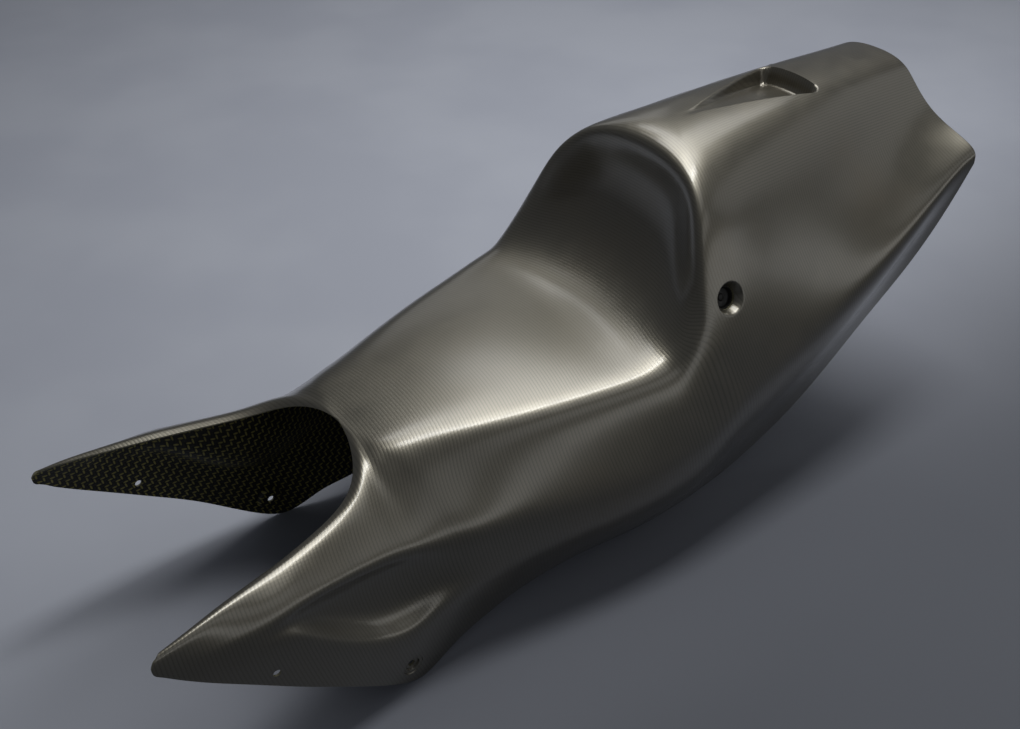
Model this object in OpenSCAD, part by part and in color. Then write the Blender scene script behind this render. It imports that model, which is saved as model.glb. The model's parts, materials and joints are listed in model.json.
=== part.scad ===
// Seat cowl of a racing motorcycle: one moulded composite shell with a single seat,
// two front arms either side of a notch, a bucket backrest and a hollow tail hump.
// The arms point along +X, the left side is +Y and +Z is up. The cowl stands on the
// lower corners of its arms and on its lower edge, and the origin is the middle of
// its footprint at that level.

/* [Overall size] */
// Length from the arm tips to the end of the tail
cowl_length = 880; // [700:10:1050]
// Width across the hips, the widest place
cowl_width = 322; // [260:2:400]
// Height from the lower edge to the top of the hump
cowl_height = 366; // [300:2:440]
// Thickness of the moulded wall
wall = 2.2; // [1.6:0.1:3]

/* [Fixings] */
// Bore for the two front fixing bolts and the two rear ones
bolt_bore = 6.5; // [5:0.5:8]
// Front bolts: distance back from the arm tips
front_bolt_back = 82; // [70:1:95]
// Front bolts: distance up from the arm's lower edge
front_bolt_edge = 15; // [10:1:20]
// Rear bolts: distance ahead of the arm's lower corner
rear_bolt_ahead = 6; // [2:1:12]
// Rear bolts: distance up from the arm's lower edge
rear_bolt_edge = 22; // [16:1:28]
// Width of the stepped recess around a rear bolt
step_d = 20; // [18:1:22]
// Depth of each of its two steps
step_deep = 1.6; // [1:0.1:2]
// Bore in the side of the hump
side_bore = 21; // [16:1:23]
// Side bores: distance behind the rim of the backrest
side_bore_behind = 28; // [22:1:40]
// Side bores: distance up from the lower end of that rim
side_bore_up = 18; // [10:1:30]
// Width of the recess around that bore
side_recess_d = 30; // [28:1:33]
// Depth of the recess
side_recess_deep = 7; // [5:0.5:9]

/* [Air scoop] */
// Length of the scoop in the hump from its tip to its rear wall
scoop_length = 140; // [100:5:150]
// Depth of the scoop at its rear wall
scoop_deep = 18; // [8:1:22]
// Greatest width of the scoop
scoop_width = 70; // [50:2:90]

/* [Hidden] */
satin_weave = "#6b6a60";

// The stations below are drawn at this size and stretched to the sizes above.
drawn = [880, 322, 366];
stretch = [cowl_length / drawn[0], cowl_width / drawn[1], cowl_height / drawn[2]];
// How far a cutting shape starts outside the wall
clear = 3;
// Height of the drawn seat level above the lower edge
seat_level = 175.45;

// Each station is one line around the left half of the cowl, from the middle or the
// inner edge of the arm down to the lower edge. A point is [distance back from the arm
// tips, distance out from the middle, height over the seat level]. The points are:
// middle, two on the seat or the hump top, two over the shoulder, shoulder, flank,
// above the crease, crease, three on the band or the pocket, below the lip, lower edge.
stations = [
    // Round tip of the arm
    [[9, 115, 5], [7.5, 116, 5], [6, 117.2, 4.6], [4, 118.5, 3.5], [2.2, 119.4, 1.6],
     [0.9, 120, -1], [0, 120.2, -2.5], [0, 120.4, -4], [0, 120.5, -5], [0, 120.6, -6.5],
     [0.5, 120.7, -8], [1.5, 120.8, -9.5], [3, 121, -11], [5, 121, -13]],
    // Pointed end of the arm
    [[28, 111.5, 6], [28, 114, 7], [28, 116.2, 6], [28, 117.8, 3.5], [28, 119, 0],
     [28, 120, -4], [28, 121, -8], [28, 121.8, -12], [28, 122.3, -15], [28, 123, -18],
     [28, 123.6, -22], [28, 124.1, -26], [28, 124.6, -30], [28, 125, -34]],
    // Front bolt
    [[62, 102.5, 6], [62, 106.5, 8], [62, 110, 6.6], [62, 113, 3.6], [62, 116, 0],
     [62, 119, -4], [62, 121.5, -8], [62, 124, -12], [62, 125.5, -16], [62, 126.6, -22],
     [62, 127.3, -28], [62, 127.8, -35], [62, 128.2, -44], [62, 128, -61]],
    // Front end of the side pocket
    [[96, 95.5, 5], [96, 100, 7.5], [96, 105, 6.4], [96, 110, 3.5], [96, 115, 0.5],
     [96, 119, -3], [96, 122.5, -7], [96, 125, -11], [96, 126.4, -14.5], [96, 127.2, -18],
     [96, 128, -21.5], [96, 129, -25], [96, 130, -34], [96, 131.3, -89]],
    [[118, 90, 4], [118, 95, 6.5], [118, 100, 5], [118, 105.5, 2], [118, 110.5, -1.5],
     [118, 115, -6], [118, 118.5, -10], [118, 121.2, -14], [118, 121.8, -19], [118, 117, -27],
     [118, 116.5, -37], [118, 129, -45], [118, 131.6, -53], [118, 132.6, -106]],
    // Deepest part of the pocket
    [[142, 83.5, 4], [142, 88.5, 6], [142, 94.5, 4.5], [142, 100, 0.5], [142, 105.5, -4],
     [142, 110, -8], [142, 114.5, -12], [142, 118.2, -16.5], [142, 118.3, -23],
     [142, 111.5, -34], [142, 113, -60], [142, 130, -69], [142, 132.4, -77], [142, 132.5, -126]],
    [[174, 73, 4], [174, 79, 6.5], [174, 85.5, 4.2], [174, 92, -1], [174, 98.5, -6.5],
     [174, 104.5, -11.5], [174, 110, -16.5], [174, 114.6, -22], [174, 115, -29],
     [174, 108.5, -41], [174, 112, -84], [175, 130, -95], [175, 132.5, -104], [174, 130, -155]],
    // Lower corner of the arm and rear bolt
    [[198, 61, 11], [198, 67.5, 13.5], [198, 75, 11], [198, 83.5, 5], [198, 92, -2],
     [198, 100, -9], [199, 107.5, -16], [199, 114.2, -23.5], [200, 115.5, -32],
     [201, 109, -45], [202, 112.5, -90], [203, 130, -103], [204, 131.5, -112], [205, 126.5, -178]],
    // Side and back of the notch
    [[212, 37, 21], [212, 47, 23], [213, 57, 20], [214, 68.5, 12], [215, 80, 3],
     [217, 92, -7], [219, 104, -17], [221, 115, -27.5], [223, 117.5, -37],
     [224, 113, -51], [225, 116, -82], [226, 129.5, -96], [227, 130, -106], [227, 122.5, -173]],
    [[218.5, 15, 25.5], [219, 29, 25.8], [220, 44, 24.5], [222, 58.5, 22.5], [226, 73, 12.5],
     [230, 88, 0], [234, 103, -13], [238, 117, -28.5], [241, 121, -42],
     [242, 119, -58], [243, 121, -79], [244, 129, -92], [245, 129, -104], [246, 120.5, -165]],
    [[219.5, 0, 26], [221, 18, 26.5], [223, 36, 26], [227, 52, 26.5], [233, 68, 19],
     [239, 85.5, 5], [245, 102.5, -10], [251, 118.5, -28.5], [255, 124, -42],
     [256, 124.5, -56], [257, 125, -77], [258, 128.5, -91], [259, 128, -104], [262, 118.5, -161]],
    [[224, 0, 26], [226, 20, 26.8], [230, 39, 28], [236, 57, 28], [243, 74, 18.5],
     [251, 92, 2.5], [259, 109, -13.5], [267, 123.5, -30], [271, 128, -42],
     [272, 128, -59], [273, 128, -77], [274, 128.5, -91], [275, 127.2, -105], [278, 116.5, -160]],
    // Front of the seat
    [[250, 0, 31], [252, 22, 31], [255, 43, 30.8], [260, 61, 29.5], [267, 77, 21.5],
     [275, 95, 5], [284, 112, -13], [293, 127, -32], [297, 131, -44],
     [298, 131.5, -62], [299, 131, -78], [300, 130, -94], [301, 127, -108], [304, 114.5, -156]],
    [[300, 0, 35], [301, 26, 34.8], [303, 50, 33.8], [306, 72, 32], [310, 87, 28],
     [314, 102, 12], [318, 118, -11], [322, 132, -35], [325, 136.5, -49],
     [326, 137, -66], [327, 136, -82], [328, 133, -98], [329, 127.5, -114], [332, 113, -154]],
    // Middle of the seat
    [[360, 0, 37.5], [360, 30, 37.2], [361, 58, 36], [362, 84, 33.5], [364, 103, 30.5],
     [366, 116, 14], [369, 130.5, -13], [373, 143.5, -40], [376, 147, -54],
     [377, 147, -71], [378, 144.5, -88], [379, 139, -104], [380, 131, -120], [382, 112.5, -155]],
    [[415, 0, 37.5], [415, 32, 37.2], [414, 63, 36.2], [413, 94, 34], [414, 114, 32],
     [415, 127, 16], [418, 140, -13], [421, 152, -42], [424, 155.5, -55],
     [425, 155, -73], [426, 151.5, -91], [427, 145, -108], [428, 136, -125], [430, 112.5, -163]],
    // Foot of the backrest
    [[455, 0, 36.8], [454, 32, 36.6], [451, 64, 36], [448, 95, 35], [445, 119, 34.3],
     [446, 131.5, 22], [450, 144.5, -7], [455, 156, -38], [459, 159, -51],
     [460, 158, -70], [461, 154, -90], [462, 147, -109], [463, 138, -127], [465, 112, -170]],
    [[488, 0, 39], [487, 32, 39.1], [483, 64, 39.2], [476, 94, 39.3], [467, 118, 39.3],
     [466, 133, 30], [472, 147, -1], [480, 157.5, -33], [484, 160.5, -46],
     [486, 159, -67], [487, 155, -88], [488, 147.5, -109], [489, 138, -128], [491, 111, -174]],
    // Bucket of the backrest
    [[520, 0, 53], [518, 32, 53.5], [513, 62, 54], [502, 90, 52.5], [488, 115.5, 48],
     [483, 132.5, 38], [489, 148, 4], [498, 158.5, -28], [503, 161.5, -41],
     [506, 160, -63], [507, 155, -86], [508, 147, -108], [509, 137, -128], [512, 110.5, -175.5]],
    [[545, 0, 80], [543, 31, 81], [536, 60, 80], [521, 86, 75], [503, 111, 63],
     [496, 132.5, 48], [502, 148, 10], [512, 158.5, -23], [518, 161.5, -36],
     [522, 159.5, -59], [524, 154, -83], [525, 146, -106], [526, 136, -127], [530, 110.5, -175.5]],
    [[557, 0, 117], [555, 29, 117], [548, 56, 113], [532, 81, 102], [512, 108, 81],
     [505, 133, 57], [512, 148, 15], [523, 158, -18], [531, 161, -30],
     [536, 158.5, -54], [539, 152.5, -79], [541, 144, -103], [543, 134.5, -125], [548, 110.5, -174.5]],
    [[557, 0, 150], [555, 29, 149], [549, 57, 144], [535, 82, 126], [518, 108, 93],
     [512, 134, 61], [521, 148, 19], [534, 157.5, -12], [543, 160.5, -24],
     [549, 157.5, -49], [553, 151, -75], [556, 142, -99], [559, 133, -121], [566, 110.5, -172.5]],
    // Rim of the backrest
    [[548, 0, 174], [546, 33, 172.5], [543, 68, 166], [533, 94, 141], [521, 113, 98],
     [518, 134.5, 62], [530, 148, 21], [545, 156.5, -7], [555, 159.5, -19],
     [562, 156, -45], [567, 149, -71], [571, 140, -95], [575, 130.5, -118], [583, 111, -169]],
    [[555, 0, 184.5], [553, 34, 183], [551, 70, 171.5], [543, 98, 144], [533, 117, 99],
     [531, 136.5, 62], [544, 149, 23], [560, 156.5, -2], [571, 159, -14],
     [579, 155, -41], [585, 148, -67], [590, 138.5, -92], [594, 129, -114], [602, 112, -164]],
    // Front of the hump
    [[584, 0, 189.5], [582, 33, 187.5], [580, 66, 173.5], [573, 95, 147], [566, 118, 105],
     [566, 135.5, 67], [576, 148, 31], [592, 155.5, 6], [603, 158, -6],
     [611, 153.5, -33], [617, 146, -58], [622, 136.5, -82], [627, 127.5, -104], [637, 113, -151]],
    [[630, 0, 191], [629, 30, 189.5], [627, 60, 177], [622, 86, 147], [618, 108.5, 110],
     [620, 127.5, 77], [629, 143, 44], [643, 153, 19], [653, 156, 7],
     [660, 151.5, -18], [666, 143.5, -42], [671, 134.5, -64], [676, 126.5, -86], [686, 115, -128]],
    // Air scoop
    [[690, 0, 192], [690, 28, 190.5], [689, 55, 179], [687, 78, 151], [686, 97.5, 121],
     [688, 117, 92], [694, 135, 64], [703, 149, 41], [710, 153, 29],
     [716, 148.5, 7], [720, 140.5, -14], [724, 132.5, -34], [728, 126.5, -53], [734, 117, -91]],
    [[750, 0, 192], [750, 26, 190.5], [750, 51, 179.5], [750, 70, 156], [750, 88, 131],
     [752, 107, 108], [755, 127, 85], [760, 143, 67], [764, 149, 56],
     [768, 145.5, 36], [771, 138.5, 19], [774, 133, 3], [777, 128.5, -13], [780, 121.5, -42]],
    // End of the tail
    [[805, 0, 190.5], [805, 23, 189.2], [805, 45, 179.5], [805, 62.5, 160], [805, 80, 140],
     [806, 99, 122.5], [808, 119, 107], [811, 135, 95], [813, 143.5, 85],
     [815, 141.5, 71], [817, 138, 57], [819, 135, 45], [820, 133, 32], [822, 130, 6]],
    [[850, 0, 188.5], [850, 21, 187], [850, 41, 179.5], [850, 58, 162], [850, 76, 145],
     [850, 95, 132.5], [851, 114, 123], [852, 129, 115.5], [853, 137.5, 108.5],
     [854, 138.5, 100], [855, 138, 91], [856, 137, 83], [857, 136, 75], [858, 135, 60]],
    [[880, 0, 186], [880, 19, 185.3], [880, 40, 179.5], [880, 56, 162.5], [880, 75, 147],
     [880, 95, 137.5], [880, 114, 131.5], [880, 128, 126.5], [880, 134, 123],
     [880, 137, 119.5], [880, 138, 116.5], [880, 138.4, 113.5], [880, 138.5, 111],
     [880, 138.6, 109]]
];

// A smooth surface runs near the stations' points. Past each end it goes on straight,
// and at the middle of the seat and the hump it goes on as its own mirror image.
corner_station = 7;
rim_station = 22;
rim_end_point = 5;
last_station = len(stations) - 1;
last_point = len(stations[0]) - 1;
first_middle = [for (i = [0 : last_station]) if (stations[i][0][1] == 0) i][0];
function mirrored(p) = [p[0], -p[1], p[2]];
function widened(s) = [
    s[0][1] == 0 ? mirrored(s[1]) : 2 * s[0] - s[1],
    each s,
    2 * s[last_point] - s[last_point - 1]
];
wide = [for (s = stations) widened(s)];
net = [2 * wide[0] - wide[1], each wide, 2 * wide[last_station] - wide[last_station - 1]];

function weights(f) = [
    pow(1 - f, 3) / 6,
    (3 * pow(f, 3) - 6 * pow(f, 2) + 4) / 6,
    (-3 * pow(f, 3) + 3 * pow(f, 2) + 3 * f + 1) / 6,
    pow(f, 3) / 6
];
function between(list, t, last) = let (
    i = min(floor(t), last - 1),
    w = weights(t - i)
) w[0] * list[i] + w[1] * list[i + 1] + w[2] * list[i + 2] + w[3] * list[i + 3];

// The scoop is a ramp that widens evenly from its tip to its rear wall.
// It is placed by the stations' own count, so its sizes are turned into stations
// along the cowl, which are this far apart here, and into points across it.
station_pitch = 56 * stretch[0];
point_pitch = 26 * stretch[1];
scoop_slope = 4;
scoop_wall = 26.94;
wall_lean = 1.4;
scoop_wall_top = scoop_wall + wall_lean * scoop_slope / station_pitch;
scoop_tip = scoop_wall - scoop_length / station_pitch;
scoop_side = scoop_slope / point_pitch;
least_half = 4;
function eased(f) = f * f * (3 - 2 * f);
function along_scoop(t) = (t - scoop_tip) / (scoop_wall - scoop_tip);
function scoop_half(t) =
    max(least_half, scoop_width / 2 * along_scoop(t)) / point_pitch;
function scoop_drop(t, k) =
    k < 3 && t > scoop_tip && t < scoop_wall_top ? scoop_deep * along_scoop(t) : 0;

// Where the lines of the mesh lie: two to a station, more at the scoop. Across, they
// follow the points, and over the scoop the first ones follow its walls.
notch_from = 8;
notch_to = 11;
lines_along = [
    for (t = [0 : 0.5 : last_station]) if (t <= notch_from || t >= notch_to || t == floor(t)) t
];
scoop_steps = 7;
ts = [
    for (t = lines_along) if (t < scoop_tip - 0.05) t,
    for (i = [0 : scoop_steps]) scoop_tip + (scoop_wall - scoop_tip) * (0.01 + 0.99 * i / scoop_steps),
    scoop_wall_top,
    for (t = lines_along) if (t > scoop_wall_top + 0.1) t
];
plain_across = [0, 0.5, 1, 1.5, 2, 2.5, 3, 3.5, 4];
rest_across = [5, 6, 7, 7.5, 8, 8.5, 9, 9.5, 10, 10.5, 11, 11.5, 12, 13];
function scoop_across(t) = let (h = scoop_half(t), e = h + scoop_side) [
    0, h / 2, h, e, for (k = [1 : 4]) e + (4 - e) * k / 5, 4
];
// How far the lines have come together for the scoop, from 0 to 1
gather_from = 22;
gather_to = 29;
function drawn_in(t) =
    t <= scoop_tip ? eased(max(0, (t - gather_from) / (scoop_tip - gather_from)))
    : t < scoop_wall_top + 0.01 ? 1
    : eased(max(0, (gather_to - t) / (gather_to - scoop_wall_top)));
function across(t) = let (
    m = drawn_in(t),
    near = m > 0 ? (1 - m) * plain_across + m * scoop_across(max(scoop_tip, min(t, scoop_wall)))
        : plain_across
) [each near, each rest_across];

// The outer face of the left half, as a grid of points in the cowl's own frame
function placed(p) = [
    cowl_length / 2 - p[0] * stretch[0],
    p[1] * stretch[1],
    (p[2] + seat_level) * stretch[2]
];
function closed(p, t, k) = k == 0 && t >= first_middle ? [p[0], 0, p[2]] : p;
outer = [
    for (t = ts) let (row = between(net, t, last_station), us = across(t)) [
        for (k = [0 : len(us) - 1]) let (p = closed(between(row, us[k], last_point), t, k))
            placed(p) - [0, 0, scoop_drop(t, k)]
    ]
];
rows = len(outer);
cols = len(outer[0]);
first_closed = [for (i = [0 : rows - 1]) if (ts[i] >= first_middle) i][0];

// The inner face lies one wall inside the outer one.
function neighbour(i, k) = k < 0 ? (i >= first_closed ? mirrored(outer[i][1]) : outer[i][0])
    : outer[i][min(k, cols - 1)];
function inward(i, k) = let (
    a = outer[min(i + 1, rows - 1)][k] - outer[max(i - 1, 0)][k],
    b = neighbour(i, k + 1) - neighbour(i, k - 1),
    n = cross(a, b),
    m = i == 0 || i == rows - 1 ? [0, n[1], n[2]] : n
) m / norm(m);
inner = [
    for (i = [0 : rows - 1]) [
        for (k = [0 : cols - 1]) outer[i][k] + wall * inward(i, k)
    ]
];

// One closed mesh: the left half, then the right half. Where the halves meet in the
// middle they share their points.
half_count = 2 * rows * cols;
function index(side, face, i, k) =
    (k == 0 && i >= first_closed ? 0 : side * half_count) + face * rows * cols + i * cols + k;
function turned(side, quad) = side == 1 ? quad : [quad[3], quad[2], quad[1], quad[0]];
points = [
    for (side = [1, -1], face = [outer, inner], row = face, p = row) [p[0], side * p[1], p[2]]
];
faces = [
    for (side = [0, 1]) each [
        for (i = [0 : rows - 2], k = [0 : cols - 2]) each [
            turned(side, [index(side, 0, i, k), index(side, 0, i, k + 1),
                index(side, 0, i + 1, k + 1), index(side, 0, i + 1, k)]),
            turned(side, [index(side, 1, i + 1, k), index(side, 1, i + 1, k + 1),
                index(side, 1, i, k + 1), index(side, 1, i, k)])
        ],
        for (i = [0 : rows - 2]) turned(side, [
            index(side, 0, i, cols - 1), index(side, 1, i, cols - 1),
            index(side, 1, i + 1, cols - 1), index(side, 0, i + 1, cols - 1)]),
        for (i = [0 : first_closed - 1]) turned(side, [
            index(side, 0, i + 1, 0), index(side, 1, i + 1, 0),
            index(side, 1, i, 0), index(side, 0, i, 0)]),
        for (k = [0 : cols - 2]) each [
            turned(side, [index(side, 0, 0, k), index(side, 1, 0, k),
                index(side, 1, 0, k + 1), index(side, 0, 0, k + 1)]),
            turned(side, [index(side, 0, rows - 1, k + 1), index(side, 1, rows - 1, k + 1),
                index(side, 1, rows - 1, k), index(side, 0, rows - 1, k)])
        ]
    ]
];
function triangles(quad) = [[quad[0], quad[1], quad[2]], [quad[0], quad[2], quad[3]]];

module moulding() {
    polyhedron(points = points, faces = [for (quad = faces) each triangles(quad)]);
}

// The point of the outer face across from a place on the cowl's side, with the
// direction into the wall there
first_side = 8;
function gap(p, x, z) = norm([p[0] - x, p[2] - z]);
function side_place(x, z) = let (
    gaps = [
        for (i = [0 : rows - 1], k = [first_side : cols - 1]) [gap(outer[i][k], x, z), i, k]
    ],
    least = min([for (g = gaps) g[0]]),
    nearest = [for (g = gaps) if (g[0] == least) g][0],
    p = outer[nearest[1]][nearest[2]],
    n = inward(nearest[1], nearest[2])
) [[x, p[1] - (n[0] * (x - p[0]) + n[2] * (z - p[2])) / n[1], z], n];

module on_both_sides() {
    children();
    mirror([0, 1, 0]) children();
}

// Turns a shape that is drawn downwards from z = 0 so that it runs into the wall
module into_wall(place, direction) {
    translate(place)
        rotate([0, acos(-direction[2]), atan2(-direction[1], -direction[0])]) children();
}

module turned_down(d, deep, from = 0, d_end = 0) {
    translate([0, 0, -deep])
        cylinder(d1 = d_end > 0 ? d_end : d, d2 = d, h = deep - from, $fn = 64);
}

// Height of the lower edge at a place along the cowl
lower_edge = [for (row = outer) [row[cols - 1][0], row[cols - 1][2]]];

// Stepped recess and bore for a rear bolt, square to the side
rear_x = placed(stations[corner_station][last_point])[0] + rear_bolt_ahead;
rear = side_place(rear_x, lookup(rear_x, lower_edge) + rear_bolt_edge)[0];
module rear_boss() {
    into_wall(rear, [0, -1, 0]) turned_down(step_d + 2 * wall, 2 * step_deep + wall, wall / 2);
}
module rear_recess() {
    into_wall(rear, [0, -1, 0]) {
        turned_down(step_d, step_deep, -clear);
        turned_down((step_d + bolt_bore) / 2, 2 * step_deep, -clear);
        turned_down(bolt_bore, 4 * wall + 2 * step_deep, -clear);
    }
}

// Flared recess and bore in the side of the hump
rim_end = placed(stations[rim_station][rim_end_point]);
side_hole = side_place(rim_end[0] - side_bore_behind, rim_end[2] + side_bore_up);
module side_boss() {
    into_wall(side_hole[0], side_hole[1]) turned_down(side_recess_d + 2 * wall,
        side_recess_deep + wall, 0.65 * wall, side_bore + 2 * wall);
}
module side_recess() {
    flare = (side_recess_d - side_bore) / side_recess_deep;
    into_wall(side_hole[0], side_hole[1]) {
        turned_down(side_recess_d + flare * clear, side_recess_deep, -clear, side_bore);
        turned_down(side_bore, side_recess_deep + 4 * wall, -clear);
    }
}

front_x = cowl_length / 2 - front_bolt_back;
module front_bores() {
    translate([front_x, 0, lookup(front_x, lower_edge) + front_bolt_edge])
        rotate([90, 0, 0]) cylinder(d = bolt_bore, h = cowl_width, center = true, $fn = 48);
}

module shell() {
    color(satin_weave) difference() {
        union() {
            moulding();
            on_both_sides() {
                rear_boss();
                side_boss();
            }
        }
        front_bores();
        on_both_sides() {
            rear_recess();
            side_recess();
        }
    }
}

shell();
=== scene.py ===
# Seat cowl of a racing motorcycle, dressed for a picture: the moulded shell with its scoop,
# its bolt recesses and its trimmed edges, a metal-coated weave under a satin coat outside
# and a dark twill with an olive thread inside.
import json
import math

import bmesh
import bpy
import numpy as np
from mathutils import Matrix, Vector


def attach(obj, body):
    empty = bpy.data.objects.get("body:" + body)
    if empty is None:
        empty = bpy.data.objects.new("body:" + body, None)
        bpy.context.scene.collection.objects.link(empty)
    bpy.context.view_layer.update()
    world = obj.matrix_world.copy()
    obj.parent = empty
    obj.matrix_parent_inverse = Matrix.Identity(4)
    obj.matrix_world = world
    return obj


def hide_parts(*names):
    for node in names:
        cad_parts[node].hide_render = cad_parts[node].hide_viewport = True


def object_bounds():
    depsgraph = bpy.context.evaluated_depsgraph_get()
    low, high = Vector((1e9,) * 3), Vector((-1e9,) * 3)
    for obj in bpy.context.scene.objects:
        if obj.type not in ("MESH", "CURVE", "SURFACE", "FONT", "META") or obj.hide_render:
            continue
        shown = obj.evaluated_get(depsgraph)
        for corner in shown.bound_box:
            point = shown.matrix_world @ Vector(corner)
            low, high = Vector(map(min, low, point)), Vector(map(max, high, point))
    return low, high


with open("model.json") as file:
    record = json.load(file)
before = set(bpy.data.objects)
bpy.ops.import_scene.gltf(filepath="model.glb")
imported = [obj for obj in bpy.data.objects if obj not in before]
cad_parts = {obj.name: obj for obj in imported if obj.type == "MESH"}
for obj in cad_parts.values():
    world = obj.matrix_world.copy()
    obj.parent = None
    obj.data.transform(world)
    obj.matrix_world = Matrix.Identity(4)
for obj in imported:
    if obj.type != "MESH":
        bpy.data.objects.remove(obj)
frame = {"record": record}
cad_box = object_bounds()
mounts = {m["name"]: m for m in frame["record"]["mounts"]}

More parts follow.
